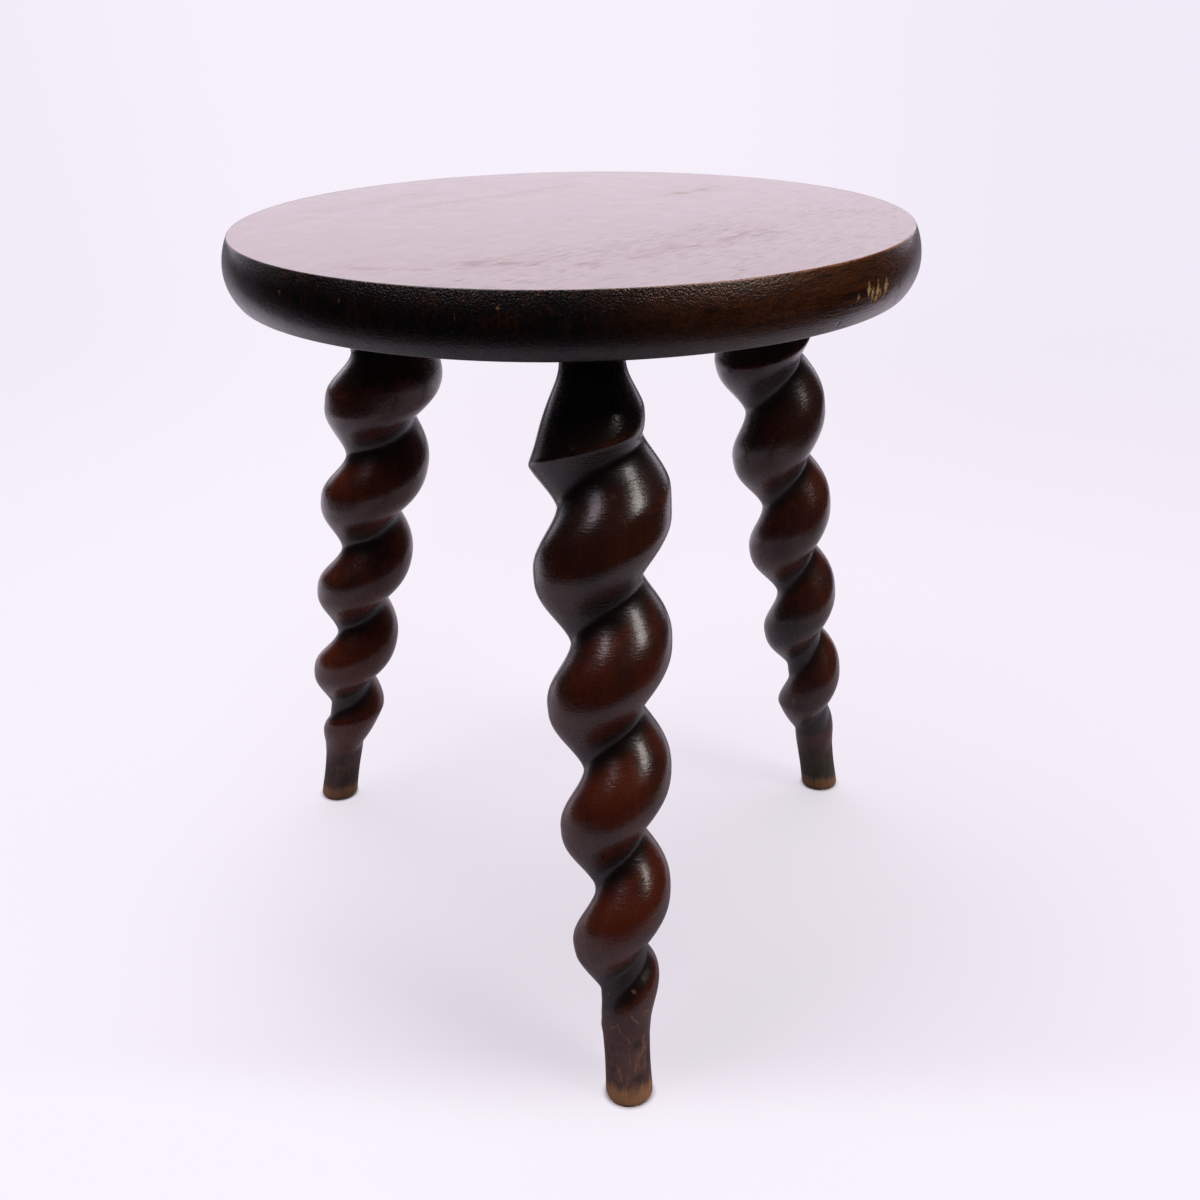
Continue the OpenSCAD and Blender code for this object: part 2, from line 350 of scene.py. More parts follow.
def new_material(name):
    material = bpy.data.materials.new(name)
    material.use_nodes = True
    return material, Sheet(material.node_tree)


def seat_finish(c, grain_turn, centre, edge_low, edge_high):
    """Dark stained board: polished and worn on top, near black on its end grain, brown on its long grain."""
    material, sheet = new_material("seat_stained_wood")
    objects = sheet.node("ShaderNodeTexCoord", {}, {}, "Object")
    board = sheet.node("ShaderNodeMapping", {"vector_type": "TEXTURE"}, {
        "Vector": objects, "Location": (*centre, 0), "Rotation": (0, 0, grain_turn)})
    f = wood_fields(sheet, board, lambda across, along: (along, across, across))
    x, y, z = sheet.axes(sheet.vector("SUBTRACT", objects, (*centre, 0)))
    normal = sheet.node("ShaderNodeNewGeometry", {}, {}, "Normal")
    up = sheet.axes(normal)[2]
    top = sheet.between(up, 0.86, 0.97)
    bare = sheet.attribute("bare")
    grain_way = (math.cos(grain_turn), math.sin(grain_turn), 0)
    end_grain = sheet.between(abs(sheet.measure("DOT_PRODUCT", normal, grain_way)), 0.1, 0.55)

    front_right = sheet.between(x * 0.68 - y * 0.73, 0.104, 0.138)
    long_grain = front_right * (0.6 + 1.8 * (f["streak"] - 0.45))
    worn_lines = sheet.between(f["band"] * 0.5 + f["line"] * 0.5, 0.48, 0.62)
    red_line = sheet.between(f["figure"] * 0.5 + f["streak"] * 0.5, 0.52, 0.66)
    upright = sheet.noise(sheet.vector("MULTIPLY", objects, (600, 600, 90)), detail=3, roughness=0.6)
    side = sheet.coats(
        c.seat_dark,
        (c.seat_brown, long_grain),
        (c.dirt_and_shade, 0.4 * front_right * sheet.between(f["speck"], 0.46, 0.6)),
        (c.worn, 0.5 * front_right * worn_lines),
        (c.dirt_and_shade, 0.55 * sheet.between(f["line"], 0.52, 0.64)),
        (c.dirt_and_shade, 0.5 * sheet.between(f["fibre"], 0.5, 0.68)),
        (c.seat_brown, 0.22 * red_line + 0.3 * end_grain * sheet.between(upright, 0.5, 0.75)),
        (c.bare, 0.3 * f["nick"]))

    broken = sheet.between(0.35 * f["rub"] + 0.25 * f["streak"] + 0.4 * f["line"], 0.42, 0.6)
    patch = sheet.between(sheet.attribute("worn"), 0.05, 0.9) * broken
    stained_lines = sheet.between(f["band"] * 0.5 + f["line"] * 0.5, 0.42, 0.6)
    shade = sheet.between(sheet.attribute("stain"), 0, 0.9) * stained_lines
    open_grain = sheet.between((x - y) * 0.7, 0.0, 0.08)
    crack = sheet.between(f["line"], 0.54, 0.66) * (0.15 + 0.85 * open_grain)
    flecks = sheet.between(f["rub"] * 0.5 + f["line"] * 0.5, 0.42, 0.6)
    face = sheet.coats(
        c.seat_top,
        (c.worn, 0.4 * sheet.between(f["figure"], 0.45, 0.75)),
        (c.seat_brown, 0.4 * sheet.between(f["band"], 0.5, 0.8)),
        (c.worn, 0.6 * patch),
        (c.seat_brown, 0.3 * shade),
        (c.dirt_and_shade, 0.25 * crack),
        (c.foot_tan, 0.28 * flecks * sheet.between(sheet.attribute("pale"), 0.05, 0.9)))

    edge_from = z + 1.4 * MM * (f["rub"] - 0.5)
    edge = sheet.between(edge_from, edge_high - 0.9 * MM, edge_high - 0.4 * MM) * (1 - top)
    rubbed = edge * sheet.between(x - 0.35 * y + 0.1 * (f["rub"] - 0.5), 0.045, 0.1)
    pore = f["pore"] * sheet.between(f["blotch"] * 0.5 + f["figure"] * 0.5, 0.4, 0.56)
    pore = pore * (1 - 0.7 * top * (1 - 0.6 * open_grain))
    splinter = sheet.mix(c.bare, c.worn, 0.65 * sheet.between(f["speck"] * 0.5 + upright * 0.5, 0.52, 0.62))
    base = sheet.coats(
        side,
        (face, top),
        (c.rubbed, rubbed * sheet.between(f["speck"], 0.38, 0.58)),
        # Specks of rubbed colour along the whole arris: partly chipped, rubbed finish, partly painted glints
        (c.rubbed, 0.3 * edge * sheet.between(f["speck"], 0.58, 0.68)),
        (c.dirt_and_shade, pore * 0.8),
        (splinter, bare))

    roughness = 0.24 + 0.2 * f["rub"] + 0.09 * patch * top + 0.2 * pore + 0.35 * bare + 0.04 * shade * top
    roughness = roughness + top * (0.1 * (0.5 - f["rub"]) + 0.04 * crack)
    coat = (0.35 - 0.13 * patch * top) * (1 - 0.6 * pore) * (1 - bare)
    pebble = sheet.node("ShaderNodeTexVoronoi", {"feature": "SMOOTH_F1"}, {
        "Vector": objects, "Scale": 1350.0, "Smoothness": 0.5}, "Distance")
    pebbled = end_grain * (0.25 + 0.75 * sheet.between(z, edge_low + 17 * MM, edge_low + 22.5 * MM))
    rough_side = 0.8 * f["fibre"] + 1.1 * f["line"] + 0.3 * f["speck"] - (0.3 + 1.2 * pebbled) * pebble
    smooth_top = 0.08 * f["fibre"] + 0.1 * f["speck"] + (0.08 + 0.12 * open_grain + 0.2 * shade) * f["line"]
    height = rough_side * (1 - top) + smooth_top * top - 0.5 * pore - 0.5 * f["nick"] * (1 - top)
    finish_surface(sheet, base, roughness, coat, height)
    return material


def leg_marks(sheet, place, twists, marks):
    """Masks of short strokes on the legs, each 1 on its line, with a ragged rim."""
    ragged = sheet.noise(place, 900, detail=2, roughness=0.7)
    masks = []
    for k, start_s, start_angle, end_s, end_angle, half_w in marks:
        start = twists[k].on_surface(start_s * MM, math.radians(start_angle))
        along = twists[k].on_surface(end_s * MM, math.radians(end_angle)) - start
        reach = sheet.vector("SUBTRACT", place, start)
        share_along = sheet.measure("DOT_PRODUCT", reach, along / along.length_squared)
        nearest = sheet.node("ShaderNodeVectorMath", {"operation": "SCALE"}, {
            0: along, "Scale": sheet.node("ShaderNodeClamp", {}, {"Value": share_along})})
        apart = sheet.measure("DISTANCE", reach, nearest)
        half_w = half_w * MM
        masks.append(sheet.between(apart + 2.5 * half_w * (ragged - 0.5), half_w, 0.2 * half_w))
    return masks


def leg_finish(c, twists, foot_low, foot_high):
    """Dark red-brown stain, polished on the strand, with dirt and painted shade in the groove, painted shade
    near the seat, and wear at the foot.
    """
    material, sheet = new_material("leg_stained_wood")
    place = sheet.attribute("grain_place", "Vector")
    f = wood_fields(sheet, place, lambda across, along: (across, across, along))
    groove = sheet.between(sheet.attribute("hollow"), 0.6, 0.97)
    height_up = sheet.axes(sheet.node("ShaderNodeTexCoord", {}, {}, "Object"))[2]

    # GRAIN_APART moves each leg's grain along X, so X tells the legs from each other
    across_x, _, along = sheet.axes(place)
    rear_leg = sheet.between(across_x, 0.5 * GRAIN_APART.x, 0.6 * GRAIN_APART.x)
    right_leg = sheet.between(across_x, 1.5 * GRAIN_APART.x, 1.6 * GRAIN_APART.x)
    warm = sheet.between(0.8 * f["blotch"] + 0.2 * f["band"], 0.28, 0.6) * (1 - 0.35 * right_leg)
    below = -1 * along
    # Painted shade: the red shows only away from the seat, so the leg stays darker where the seat shades it
    out_of_seat_shade = (0.25 * sheet.between(below, 20 * MM, 60 * MM)
                  + 0.75 * sheet.between(below, 50 * MM, 120 * MM))
    base = sheet.coats(
        c.leg_dark,
        (c.leg_red, warm * out_of_seat_shade * (0.9 + 0.7 * (f["streak"] - 0.4))),
        (c.leg_bright, 0.4 * out_of_seat_shade * warm * sheet.between(f["band"], 0.45, 0.75)),
        (c.dirt_and_shade, 0.3 * sheet.between(f["fibre"], 0.5, 0.8)),
        # Dirt and painted shade: the deeper in the groove, the darker
        (c.dirt_and_shade, 0.85 * groove),
        (c.leg_bright, 0.7 * sheet.attribute("ridge") * sheet.between(f["rub"], 0.4, 0.6)),
        (c.worn, 0.5 * f["nick"]))

    worn_h = height_up + 12 * MM * (f["blotch"] - 0.5) + 8 * MM * (f["rub"] - 0.5)
    wear = sheet.between(worn_h, foot_high, foot_low)
    grey = sheet.between(f["blotch"] * 0.5 + f["rub"] * 0.5, 0.38, 0.56) * (1 - 0.7 * right_leg)
    green = rear_leg * sheet.between(height_up, 34 * MM, 18 * MM) * (0.6 + 0.4 * right_leg)
    dull = sheet.coats(c.foot_dark, (c.foot_grey, grey), (c.foot_green, green))
    streaks = f["rub"] * 0.5 + f["streak"] * 0.5
    scuff = sheet.between(streaks, 0.52, 0.64) * (1 - 0.7 * rear_leg)
    ragged = 9 * MM * (f["streak"] - 0.5) + 8 * MM * (f["blotch"] - 0.5) + 8 * MM * (f["rub"] - 0.5)
    stripped = sheet.between(height_up + ragged, 10.2 * MM, 4.5 * MM) * (1 - 0.35 * rear_leg)
    pore = f["pore"] * sheet.between(f["figure"], 0.46, 0.62)
    base = sheet.coats(
        base,
        (dull, wear * 0.9),
        (c.foot_tan, wear * scuff * 0.65),
        (c.foot_bare, stripped),
        (c.foot_dark, stripped * 0.4 * sheet.between(streaks, 0.5, 0.65)),
        (c.dirt_and_shade, pore * 0.2))
    scrapes = leg_marks(sheet, place, twists, [mark[:-1] for mark in LEG_SCRAPES])
    base = sheet.coats(base, *[(c.foot_tan, mark[-1] * mask) for mark, mask in zip(LEG_SCRAPES, scrapes)])
    cracked, *others = leg_marks(sheet, place, twists, LEG_CRACKS)
    for mask in others:
        cracked = cracked + mask
    base = sheet.mix(base, c.dirt_and_shade, cracked)

    roughness = 0.2 + 0.14 * f["rub"] + 0.3 * wear + 0.08 * pore + 0.1 * groove
    coat = 0.3 * (1 - wear) * (1 - 0.3 * pore)
    scrape = sheet.noise(sheet.vector("MULTIPLY", place, (120, 120, 1000)), detail=2, roughness=0.6)
    sanding = sheet.noise(sheet.vector("MULTIPLY", place, (300, 300, 1450)), detail=2, roughness=0.6)
    height = 0.2 * f["fibre"] + 0.1 * f["speck"] + 0.3 * f["streak"] + 0.5 * scrape + 0.9 * sanding
    height = height + 0.5 * wear * f["rub"] - 0.12 * pore - 0.6 * f["nick"] - 1.2 * cracked
    finish_surface(sheet, base, roughness, coat, height)
    return material


def add_object(name, data):
    """Puts an object with this data in the scene."""
    made = bpy.data.objects.new(name, data)
    bpy.context.scene.collection.objects.link(made)
    return made


def add_mesh(name, bm):
    """Puts a finished bmesh in the scene as an object."""
    mesh = bpy.data.meshes.new(name)
    bm.to_mesh(mesh)
    bm.free()
    return add_object(name, mesh)


def new_piece(name, bm, material, node):
    """Puts a finished bmesh in the scene as the piece that stands for a node of the frame."""
    piece = add_mesh(name, bm)
    mesh = piece.data
    mesh.materials.append(material)
    mesh.polygons.foreach_set("use_smooth", [True] * len(mesh.polygons))
    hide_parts(node)
    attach(piece, "root")
    return piece


def clamp(value):
    """The value, kept from 0 to 1."""
    return min(max(value, 0), 1)


def spread(start, stop, steps):
    """Numbers from start to stop at even steps."""
    return [start + (stop - start) * n / steps for n in range(steps + 1)]


def softer_min(a, b, soft):
    """The smaller of two lengths, with the corner between them rounded over soft."""
    h = clamp(0.5 + 0.5 * (b - a) / soft)
    return b + (a - b) * h - soft * h * (1 - h)


def softer_max(a, b, soft):
    return -softer_min(-a, -b, soft)


def seat_centre():
    low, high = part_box("seat")
    return (low.x + high.x) / 2, (low.y + high.y) / 2


class Twist:
    """The turned and carved form of one leg. It hangs from the underside along its own -Z axis."""

    def __init__(self, sizes, k):
        self.sizes = sizes
        self.apart = GRAIN_APART * k
        self.girth = sizes.girth[k]
        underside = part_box("seat")[0].z
        self.length = underside / math.cos(sizes.splay[k])
        change = 1 / sizes.pitch_foot - 1 / sizes.pitch_top
        self.pitch_change = change / (2 * self.length)
        self.end = self.length - sizes.foot_l
        socket = Vector((math.cos(sizes.socket_angle[k]), math.sin(sizes.socket_angle[k]), 0))
        socket = socket * sizes.socket_circle_d / 2 + Vector((*seat_centre(), underside))
        lean = sizes.socket_angle[k] + sizes.lean_offset
        self.place = (Matrix.Translation(socket) @ Matrix.Rotation(lean, 4, "Z")
                      @ Matrix.Rotation(-sizes.splay[k], 4, "Y") @ Matrix.Rotation(sizes.leg_turn[k], 4, "Z"))

    def turns(self, s):
        return s / self.sizes.pitch_top + self.pitch_change * s * s

    def crest(self, s):
        z = self.sizes
        return self.girth * (z.crest_top_d + (z.crest_foot_d - z.crest_top_d) * s / self.length) / 2

    def uncarved(self, s):
        """Radius of the turned blank, before its groove is carved."""
        z = self.sizes
        cone = z.neck_d / 2 + z.flare * softer_max(0, s - z.neck_l, z.neck_soft)
        down = (s - z.neck_l) / (z.cone_l - z.neck_l)
        if 0 < down < 1:
            cone += z.cone_swell * math.sin(math.pi * down) ** 2
        above_foot = softer_max(0, self.end - s, z.shoulder_soft)
        swell = z.shoulder_w * (1 - math.exp(-above_foot / z.shoulder_l))
        return softer_min(cone, self.foot_radius(self.length - s) + swell, 2 * z.ridge_soft)

    def carved(self, s, phase):
        """Radius that the groove leaves at phase across the strand, wherever the blank is thick enough."""
        z = self.sizes
        left = 1 - (1 - abs(math.sin(math.pi * phase)) ** z.groove_round) ** z.strand_round
        return self.crest(s) - self.girth * z.groove_depth * (1 - left)

    def foot_radius(self, h):
        z = self.sizes
        top_h = self.length - self.end
        below = clamp((z.waist_h - h) / (z.waist_h - z.foot_end_l))
        above = clamp((h - z.waist_h) / (top_h - z.waist_h))
        above = above ** 2 * (3 - 2 * above)
        waist_r = z.waist_d / 2
        return waist_r + (z.foot_d / 2 - waist_r) * below ** 2 + (z.foot_top_d / 2 - waist_r) * above

    def bottom(self, s):
        """Smallest radius that the groove may leave at s."""
        z = self.sizes
        if s >= self.end:
            return self.foot_radius(self.length - s)
        waist_r = z.waist_d / 2
        return waist_r + (z.foot_top_d / 2 - waist_r) * math.exp(-((s - self.end) / z.groove_end_l) ** 2)

    def radius(self, s, phase):
        """Radius at distance s below the seat, and at phase across the strand, 0 in the groove."""
        z = self.sizes
        if s <= 0:
            return z.neck_d / 2
        left = max(self.end + z.shoulder_soft - s, 0)
        soft = z.ridge_soft * min(1, left / z.groove_end_l) + HAIR
        down = clamp((s - z.neck_l) / (z.cone_l - z.neck_l))
        near_end = max(1 - left / z.run_out_l, 0)
        ridge = soft + z.ridge_soft_top * (4 * down * (1 - down)) ** 2
        ridge += z.ridge_soft_foot * 4 * near_end * (1 - near_end)
        return softer_max(self.bottom(s), softer_min(self.uncarved(s), self.carved(s, phase), ridge), soft)

    def on_surface(self, s, angle):
        """Place on the leg's surface, in the coordinates of its grain."""
        radius = self.radius(s, angle / (2 * math.pi) + self.turns(s)) - self.sizes.carving / 2
        return Vector((radius * math.cos(angle), radius * math.sin(angle), -s)) + self.apart

    def ridge(self, s, phase):
        """1 on the ridge where the first groove cuts the cone, and 0 away from it."""
        z = self.sizes
        if not z.neck_l < s < 1.5 * z.cone_l:
            return 0
        return math.exp(-((self.uncarved(s) - self.carved(s, phase)) / z.ridge_soft) ** 2)

    def hollow(self, s, radius):
        """How deep in the groove a place lies, from 0 on the blank to 1 at the groove's bottom."""
        if s <= 0:
            return 0
        whole = min(self.uncarved(s), self.crest(s))
        deepest = max(self.bottom(s), self.crest(s) - self.girth * self.sizes.groove_depth)
        # Near the foot a place counts as deeper, so the last groove gets more of its dirt and painted shade
        near_end = clamp(1 - (self.end - s) / self.sizes.run_out_l)
        depth = (whole - radius) / max(whole - deepest, self.sizes.least_groove)
        return clamp(depth * (1 + 0.5 * near_end))


def spin_blank(bm, twist, sizes):
    """A plain turned tube from the tenon's end to below the floor."""
    start = -sizes.tenon_l
    stop = twist.length + 2 * sizes.foot_end_l
    steps = round((stop - start) / sizes.ring_l)
    row = [bm.verts.new((sizes.neck_d / 2, 0, -s)) for s in spread(start, stop, steps)]
    edges = [bm.edges.new(pair) for pair in zip(row, row[1:])]
    bmesh.ops.spin(bm, geom=row + edges, cent=(0, 0, 0), axis=(0, 0, 1), angle=2 * math.pi,
                   steps=sizes.columns, use_merge=True)


def carve_blank(bm, twist, sizes, seed):
    """Moves the tube's vertices to the carved form. Its columns follow the strand and crowd the groove."""
    crowding = 0.55
    for v in bm.verts:
        s = -v.co.z
        column = math.atan2(v.co.y, v.co.x) / (2 * math.pi) % 1
        phase = column - crowding * math.sin(2 * math.pi * column) / (2 * math.pi)
        turn = 2 * math.pi * (phase - twist.turns(max(s, 0)))
        radius = twist.radius(s, phase)
        spot = Vector((radius * math.cos(turn), radius * math.sin(turn), v.co.z))
        if 0 < s:
            rough = 0.5 + 0.5 * noise.fractal(spot * 45 + Vector((seed, 0, 0)), 1.0, 2.1, 2)
            radius -= sizes.carving * clamp(rough) * min(1, s / sizes.neck_l)
        v.co = (radius * math.cos(turn), radius * math.sin(turn), v.co.z)


def close_ends(bm, twist, chamfer):
    """Fills both open ends, with a chamfer at the tenon's end and a worn, rounded rim at the foot."""
    open_edges = [e for e in bm.edges if e.is_boundary]
    made = bmesh.ops.holes_fill(bm, edges=open_edges, sides=0)
    rim = [e for face in made["faces"] for e in face.edges if e.verts[0].co.z > chamfer]
    bmesh.ops.bevel(bm, geom=rim, offset=chamfer, offset_type="OFFSET", affect="EDGES", segments=2,
                    profile=0.5, material=-1)
    back = twist.place.inverted()
    rim_r = twist.sizes.foot_round
    for v in bm.verts:
        if v.co.z < rim_r:
            axis = twist.place @ Vector((0, 0, (back @ v.co).z))
            out = v.co - axis
            inward = rim_r - math.sqrt(rim_r ** 2 - (rim_r - max(v.co.z, 0)) ** 2)
            v.co.xy -= out.xy.normalized() * inward
    bmesh.ops.recalc_face_normals(bm, faces=bm.faces)


def make_leg(sizes, k, material):
    twist = Twist(sizes, k)
    foot = next(m for m in frame["record"]["mounts"] if m["name"] == FEET[k])
    reached = twist.place @ Vector((0, 0, -twist.length))
    if (reached - Vector(foot["pos_m"])).length > 0.1 * MM:
        raise RuntimeError(f"{LEGS[k]} doesn't reach the frame's foot: its sizes differ from the frame's")
    bm = bmesh.new()
    spin_blank(bm, twist, sizes)
    carve_blank(bm, twist, sizes, seed=7.3 * (k + 1))
    bmesh.ops.transform(bm, matrix=twist.place, verts=bm.verts)
    whole = [*bm.verts, *bm.edges, *bm.faces]
    bmesh.ops.bisect_plane(bm, geom=whole, plane_co=(0, 0, 0), plane_no=(0, 0, -1), clear_outer=True)
    close_ends(bm, twist, chamfer=0.35 * MM)

    grain = bm.verts.layers.float_vector.new("grain_place")
    hollow = bm.verts.layers.float.new("hollow")
    ridge = bm.verts.layers.float.new("ridge")
    back = twist.place.inverted()
    for v in bm.verts:
        local = back @ v.co
        s = -local.z
        v[grain] = local + twist.apart
        v[hollow] = twist.hollow(s, math.hypot(local.x, local.y))
        v[ridge] = twist.ridge(s, math.atan2(local.y, local.x) / (2 * math.pi) + twist.turns(s))
    return new_piece(f"carved_{LEGS[k]}", bm, material, LEGS[k])


def arc(centre, radius, start, stop, steps):
    """Points on an arc of the seat's section, each a radius and a height. Angles are in radians."""
    return [(centre[0] + radius * math.cos(a), centre[1] + radius * math.sin(a))
            for a in spread(start, stop, steps)]


def seat_section(z, low, high):
    """The seat's section from the rim of its sitting face, round the edge, to its underside."""
    seat_r = (high.x - low.x) / 2
    bulge_z = low.z + z.bulge_h
    upper = (seat_r - z.upper_edge_r, bulge_z)
    lower = (seat_r - z.lower_edge_r, bulge_z)
    rise = high.z - z.arris_r - bulge_z
    reach = math.sqrt((z.upper_edge_r - z.arris_r) ** 2 - rise ** 2)
    arris = (upper[0] + reach, high.z - z.arris_r)
    arris_end = math.atan2(rise, reach)
    fall = bulge_z - low.z - z.under_arris_r
    under_reach = math.sqrt((z.lower_edge_r - z.under_arris_r) ** 2 - fall ** 2)
    under = (lower[0] + under_reach, low.z + z.under_arris_r)
    under_start = -math.atan2(fall, under_reach)
    quarter = math.pi / 2
    points = arc(arris, z.arris_r, quarter, arris_end, 5)
    points += arc(upper, z.upper_edge_r, arris_end, 0, 14)[1:]
    points += arc(lower, z.lower_edge_r, 0, under_start, 14)[1:]
    points += arc(under, z.under_arris_r, under_start, -quarter, 4)[1:]
    return points


def nearness_to_chip(chip, co, underside):
    """How far inside a chip a point of the edge lies: 1 at its middle, 0 at its rim and less outside it."""
    direction, height, half_w, half_h, _ = chip
    turned = math.atan2(co.y, co.x) - math.radians(direction)
    along = abs(math.remainder(turned, 2 * math.pi)) * co.xy.length
    up = abs(co.z - underside - height * MM)
    return 1 - along / (half_w * MM) - up / (half_h * MM)


def chip_edge(bm, z, underside, rim_r):
    """Knocks small chips out of the edge, with finer faces where they lie."""
    def on_edge(co):
        return co.xy.length > rim_r - 2 * MM and co.z > underside + MM
    margin = -1.2
    struck = [f for f in bm.faces if on_edge(f.calc_center_median())
              and max(nearness_to_chip(c, f.calc_center_median(), underside) for c in CHIPS) > margin]
    edges = dict.fromkeys(e for f in struck for e in f.edges)    # each edge once, in order
    bmesh.ops.subdivide_edges(bm, edges=list(edges), cuts=3, use_grid_fill=True)
    bm.normal_update()
    bare = bm.verts.layers.float.new("bare")
    moves = {}
    for v in bm.verts:
        if on_edge(v.co):
            near, bareness = max((nearness_to_chip(c, v.co, underside), c[-1]) for c in CHIPS)
            if near > margin:
                ragged = near + 0.6 * noise.noise(v.co / (0.6 * MM))
                inside = clamp(3 * ragged)
                v[bare] = inside * bareness
                moves[v] = v.normal * z.chip_depth * inside * (0.15 + 0.85 * bareness)
    for v, move in moves.items():
        v.co -= move


def mark_face(bm, face_z):
    """Records where the sitting face is worn, pale and stained."""
    for name, marks in FACE_MARKS.items():
        layer = bm.verts.layers.float.new(name)
        for v in bm.verts:
            if v.co.z > face_z - MM:
                v[layer] = max(nearness_to_mark(mark, v.co) for mark in marks)


def nearness_to_mark(mark, co):
    """1 on the line of a mark, falling to 0 at its width."""
    start, end, width = Vector(mark[0:2]) * MM, Vector(mark[2:4]) * MM, mark[4] * MM
    along = end - start
    share_along = clamp((co.xy - start).dot(along) / along.length_squared)
    return max(0, 1 - (co.xy - start - along * share_along).length / width)


def make_seat(z, legs, material):
    low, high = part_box("seat")
    centre = Vector((*seat_centre(), 0))
    section = seat_section(z, low, high)
    face_inset = 0.3 * MM
    rim_r = section[0][0] - face_inset
    bm = bmesh.new()
    bmesh.ops.create_grid(bm, x_segments=z.top_cells, y_segments=z.top_cells, size=1)
    for v in bm.verts:
        u, w = v.co.x, v.co.y
        v.co = (rim_r * u * math.sqrt(1 - w * w / 2), rim_r * w * math.sqrt(1 - u * u / 2), high.z)
    rim = [e for e in bm.edges if e.is_boundary]
    under_r = section[-1][0]
    under_rings = [(inward * under_r, low.z) for inward in (0.992, 0.85, 0.6, 0.35, 0.12)]
    for ring_r, ring_z in section + under_rings:
        made = bmesh.ops.extrude_edge_only(bm, edges=rim)["geom"]
        rim = [e for e in made if isinstance(e, bmesh.types.BMEdge) and e.is_boundary]
        for v in made:
            if isinstance(v, bmesh.types.BMVert):
                out = v.co.xy.normalized() * ring_r
                v.co = (out.x, out.y, ring_z)
    bmesh.ops.contextual_create(bm, geom=rim)
    for v in bm.verts:
        if v.co.z > low.z + MM:
            slow = clamp(0.5 + 0.5 * noise.fractal(v.co * 16, 0.8, 2.0, 2))
            if v.co.z > high.z - HAIR:
                v.co.z -= z.wave * slow
            else:
                v.co.xy *= 1 - z.wave * slow / rim_r
    bmesh.ops.recalc_face_normals(bm, faces=bm.faces)
    chip_edge(bm, z, low.z, rim_r)
    mark_face(bm, high.z)
    bmesh.ops.translate(bm, vec=centre, verts=bm.verts)
    bmesh.ops.recalc_face_normals(bm, faces=bm.faces)
    piece = new_piece("seat_board", bm, material, "seat")
    drill_sockets(piece, legs)
    piece.data.set_sharp_from_angle(angle=math.radians(50))
    return piece


def drill_sockets(piece, z):
    """Cuts the three blind sockets for the tenons."""
    drills = bmesh.new()
    depth = z.tenon_l + z.socket_end_gap
    socket_r = z.neck_d / 2 + z.tenon_gap
    for k in range(len(LEGS)):
        bmesh.ops.create_cone(drills, cap_ends=True, segments=96, radius1=socket_r, radius2=socket_r,
                              depth=2 * depth, matrix=Twist(z, k).place)
    cutter = add_mesh("drills", drills)
    cut = piece.modifiers.new("sockets", "BOOLEAN")
    cut.operation, cut.solver, cut.object = "DIFFERENCE", "EXACT", cutter
    graph = bpy.context.evaluated_depsgraph_get()
    drilled = bpy.data.meshes.new_from_object(piece.evaluated_get(graph))
    piece.modifiers.clear()
    drilled.name = piece.name
    piece.data = drilled
    bpy.data.objects.remove(cutter)


def make_floor(z):
    """A pale floor that runs into the backdrop, with the stool's shadow on it."""
    bm = bmesh.new()
    bmesh.ops.create_circle(bm, cap_ends=True, segments=96, radius=80)
    floor = add_mesh("floor", bm)
    material, sheet = new_material("pale_floor")
    place = sheet.node("ShaderNodeTexCoord", {}, {}, "Object")
    x, y, _ = sheet.axes(place)
    away = sheet.measure("LENGTH", place)
    far = sheet.between(away, 0.3, 1.6)
    sideways = sheet.math("DIVIDE", abs(x + 0.06 * away), away + 0.5)
    distant = sheet.mix(z.floor_near, z.floor_far, 0.35 + 0.65 * sheet.between(sideways, 0.1, 0.4))
    seen = sheet.mix(z.floor_near, distant, far)
    camera = sheet.node("ShaderNodeLightPath", {}, {}, "Is Camera Ray")
    front_edge = sheet.between(y, -0.25, -0.4)
    side_edge = sheet.between(abs(x) - 0.8 * y, 0.36, 0.56)
    bounce = z.floor_bounce + (1 - z.floor_bounce) * sheet.between(away, 0.3, 0.55)
    lit = (1 - front_edge) * (1 - side_edge) * bounce
    base = sheet.mix(z.dark_room, seen, camera + lit * (1 - camera))
    paper = sheet.node("ShaderNodeBsdfDiffuse", {}, {"Color": base}, "BSDF")
    glow = sheet.node("ShaderNodeEmission", {}, {"Color": seen}, "Emission")
    # Painted light: towards the front and the left the floor glows more fully, so it looks brighter there and
    # shows less shadow
    painted_light_side = 0.8 * sheet.between(y, -0.11, -0.18) + 0.65 * sheet.between(x, 0, -0.25)
    painted_light_floor = 1 - (1 - far) * sheet.between(painted_light_side, 1, 0)
    share_seen = camera * (z.floor_glow + (1 - z.floor_glow) * painted_light_floor)
    shadow_inner_r, shadow_outer_r = 8.8 * MM, 11.8 * MM
    for mount in frame["record"]["mounts"]:
        if mount["name"] in FEET:
            from_foot = sheet.measure("DISTANCE", place, mount["pos_m"])
            share_seen = share_seen * sheet.between(from_foot, shadow_inner_r, shadow_outer_r)
    both = sheet.node("ShaderNodeMixShader", {}, {0: share_seen, 1: paper, 2: glow})
    sheet.node("ShaderNodeOutputMaterial", {}, {"Surface": both})
    floor.data.materials.append(material)


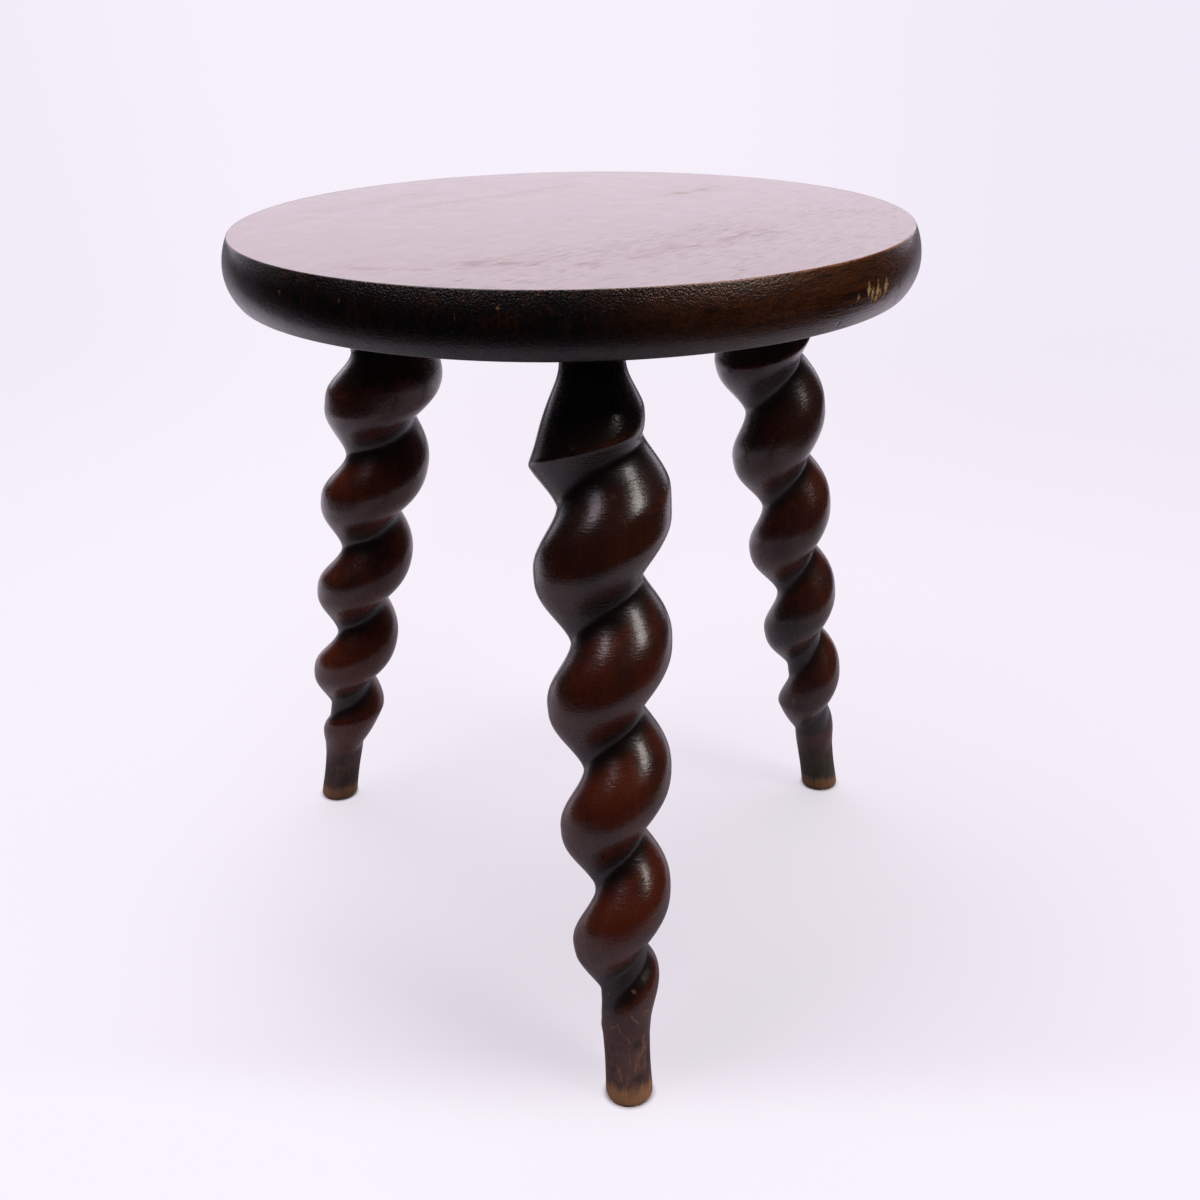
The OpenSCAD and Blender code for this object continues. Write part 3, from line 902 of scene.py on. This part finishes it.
def make_world(z):
    """Pale light behind and above the stool, and a dark room on the camera's side."""
    world = bpy.data.worlds.new("studio")
    world.use_nodes = True
    bpy.context.scene.world = world
    sheet = Sheet(world.node_tree)
    direction = sheet.node("ShaderNodeTexCoord", {}, {}, "Generated")
    _, y, up = sheet.axes(direction)
    light_side = sheet.between(y, 0.55, 0.85)
    behind = sheet.between(y, 0.6, 0.9) * sheet.between(up, 0.7, 0.25)
    light = sheet.mix(z.dark_room, z.pale_light, light_side)
    camera = sheet.node("ShaderNodeLightPath", {}, {}, "Is Camera Ray")
    seen = sheet.mix(light, z.floor_far, camera)
    strength = 1.05 + 0.65 * behind
    background = sheet.node("ShaderNodeBackground", {}, {
        "Color": seen, "Strength": strength * (1 - camera) + camera})
    sheet.node("ShaderNodeOutputWorld", {}, {"Surface": background})


def softbox(name, azimuth, elevation, distance, width, height, radiance, tint, aim):
    """A soft lamp. Azimuth is to the right of the camera's side, and radiance is its brightness."""
    a, e = math.radians(azimuth), math.radians(elevation)
    back = Vector((math.sin(a) * math.cos(e), -math.cos(a) * math.cos(e), math.sin(e)))
    data = bpy.data.lights.new(name, "AREA")
    data.shape, data.size, data.size_y, data.color = "RECTANGLE", width, height, tint
    data.energy = math.pi * width * height * radiance
    lamp = add_object(name, data)
    lamp.location = Vector(aim) + back * distance
    lamp.rotation_euler = back.to_track_quat("Z", "Y").to_euler()
    lamp.visible_camera = False


def make_camera(z):
    pitch, yaw, roll = z.camera_pitch, z.camera_yaw, z.camera_roll
    forward = Vector((math.sin(yaw) * math.cos(pitch), math.cos(yaw) * math.cos(pitch), -math.sin(pitch)))
    level = Vector((math.cos(yaw), -math.sin(yaw), 0))
    upright = level.cross(forward)
    right = math.cos(roll) * level + math.sin(roll) * upright
    up = -math.sin(roll) * level + math.cos(roll) * upright
    data = bpy.data.cameras.new("camera")
    data.sensor_fit, data.sensor_width, data.lens = "HORIZONTAL", 36, z.lens
    camera = add_object("camera", data)
    x, y = seat_centre()
    turn = Matrix((right, up, -forward)).transposed().to_4x4()
    camera.matrix_world = Matrix.Translation((x, y - z.camera_back, z.camera_h)) @ turn
    bpy.context.scene.camera = camera


class STOOL_OT_stage(Operator):
    """Sets up the floor, the light and the camera"""
    bl_idname = "stool.stage"
    bl_label = "Stage"

    def execute(self, context):
        z = context.scene.stool_stage
        make_camera(z)
        make_floor(z)
        make_world(z)
        aim = (0, 0, 0.2)
        softbox("right_softbox", azimuth=61, elevation=48, distance=1.5, width=0.4, height=0.48,
                radiance=8.5, tint=(1, 0.95, 0.9), aim=aim)
        softbox("left_softbox", azimuth=-62, elevation=57, distance=1.4, width=0.4, height=0.42,
                radiance=4.6, tint=(1, 0.84, 0.95), aim=aim)
        softbox("overhead_softbox", azimuth=180, elevation=76, distance=2.0, width=2.4, height=1.6,
                radiance=3.1, tint=(1, 0.97, 1), aim=aim)
        context.scene.view_settings.view_transform = "Standard"
        return {"FINISHED"}


class STOOL_OT_seat(Operator):
    """Makes the seat board with its sockets and finish"""
    bl_idname = "stool.seat"
    bl_label = "Seat"

    def execute(self, context):
        scene = context.scene
        low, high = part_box("seat")
        material = seat_finish(scene.stool_colours, scene.stool_seat.grain_turn, seat_centre(),
                               edge_low=low.z, edge_high=high.z)
        make_seat(scene.stool_seat, scene.stool_legs, material)
        return {"FINISHED"}


class STOOL_OT_legs(Operator):
    """Makes the three carved legs and their finish"""
    bl_idname = "stool.legs"
    bl_label = "Legs"

    def execute(self, context):
        scene = context.scene
        twists = [Twist(scene.stool_legs, k) for k in range(len(LEGS))]
        material = leg_finish(scene.stool_colours, twists, foot_low=24 * MM, foot_high=36 * MM)
        for k in range(len(LEGS)):
            make_leg(scene.stool_legs, k, material)
        return {"FINISHED"}


class STOOL_PT_panel(Panel):
    """Lists the stool's parts and settings in the sidebar"""
    bl_label = "Milking stool"
    bl_space_type = "VIEW_3D"
    bl_region_type = "UI"
    bl_category = "Stool"

    def draw(self, context):
        for operator in OPERATORS:
            self.layout.operator(operator.bl_idname)
        for name in SETTINGS:
            group = getattr(context.scene, name)
            box = self.layout.box()
            for key in group.bl_rna.properties.keys():
                if key not in ("rna_type", "name"):
                    box.prop(group, key)


OPERATORS = (STOOL_OT_stage, STOOL_OT_seat, STOOL_OT_legs)
SETTINGS = {"stool_seat": StoolSeatSizes, "stool_legs": StoolLegSizes, "stool_colours": StoolColours,
            "stool_stage": StoolStage}


def register():
    for cls in (*SETTINGS.values(), *OPERATORS, STOOL_PT_panel):
        bpy.utils.register_class(cls)
    for name, cls in SETTINGS.items():
        setattr(bpy.types.Scene, name, PointerProperty(type=cls))


def unregister():
    for name in SETTINGS:
        delattr(bpy.types.Scene, name)
    for cls in (STOOL_PT_panel, *OPERATORS, *SETTINGS.values()):
        bpy.utils.unregister_class(cls)


def main():
    register()
    bpy.ops.stool.stage()
    bpy.ops.stool.seat()
    bpy.ops.stool.legs()


if __name__ == "__main__":
    main()
